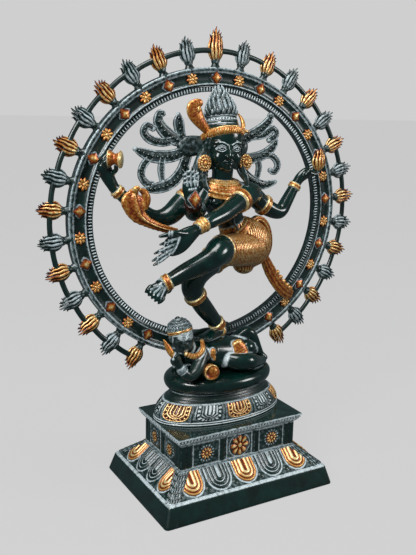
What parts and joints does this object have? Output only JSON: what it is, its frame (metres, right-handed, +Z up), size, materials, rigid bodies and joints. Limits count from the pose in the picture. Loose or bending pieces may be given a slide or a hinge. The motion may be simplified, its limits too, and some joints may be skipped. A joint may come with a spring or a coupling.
{
  "type": "nataraja statue",
  "caption": "Dancing four-armed figure in a ring of flames on a dwarf, lotus pedestal and stepped base; a free-standing ornament.",
  "frame": {"origin": "centre of the base's footprint, on the plane it stands on", "axes": "+Z up; -Y is the front the figure faces; +X is to the right of someone facing the front"},
  "size_m": [0.4028, 0.1564, 0.5073],
  "materials": {
    "green_enamel": "deep bottle-green gloss enamel over cast brass",
    "antiqued_green": "green enamel with a pale wash rubbed into the relief",
    "gold_paint": "gold and copper paint over cast brass, worn on the high spots",
    "plain_steel": "plain steel fixings",
    "plain_brass": "bare turned brass"
  },
  "bodies": {
    "root": {"foot_plinth": "green_enamel", "cornice_slab": "green_enamel", "pedestal_cushion": "green_enamel", "ring_saddle": "green_enamel", "head": "green_enamel", "torso": "green_enamel", "leg_raised": "green_enamel", "leg_standing": "green_enamel", "arm_front_left": "green_enamel", "arm_front_right": "green_enamel", "arm_back_left": "green_enamel", "arm_back_right": "green_enamel", "dwarf_body": "green_enamel", "dwarf_leg_front": "green_enamel", "dwarf_leg_back": "green_enamel", "dwarf_arm_back": "green_enamel", "dado_box": "antiqued_green", "lotus_pedestal": "antiqued_green", "flame_ring": "antiqued_green", "ring_inner_band": "antiqued_green", "crown": "antiqued_green", "hair_fan_left": "antiqued_green", "hair_fan_right": "antiqued_green", "dwarf_head": "antiqued_green", "dwarf_arm_front": "antiqued_green", "hips": "gold_paint", "crown_cobra": "gold_paint", "crown_crescent": "gold_paint", "arm_cobra": "gold_paint", "drum": "gold_paint", "hand_flame": "gold_paint", "hip_bow": "gold_paint", "sash": "gold_paint", "earring_left": "gold_paint", "earring_right": "gold_paint", "dwarf_snake": "gold_paint", "dwarf_shield": "gold_paint", "tie_rod": "plain_steel", "tie_washer": "plain_steel", "ring_screw_left": "plain_steel", "ring_screw_right": "plain_steel", "tie_nut": "plain_brass"}
  },
  "joints": []
}
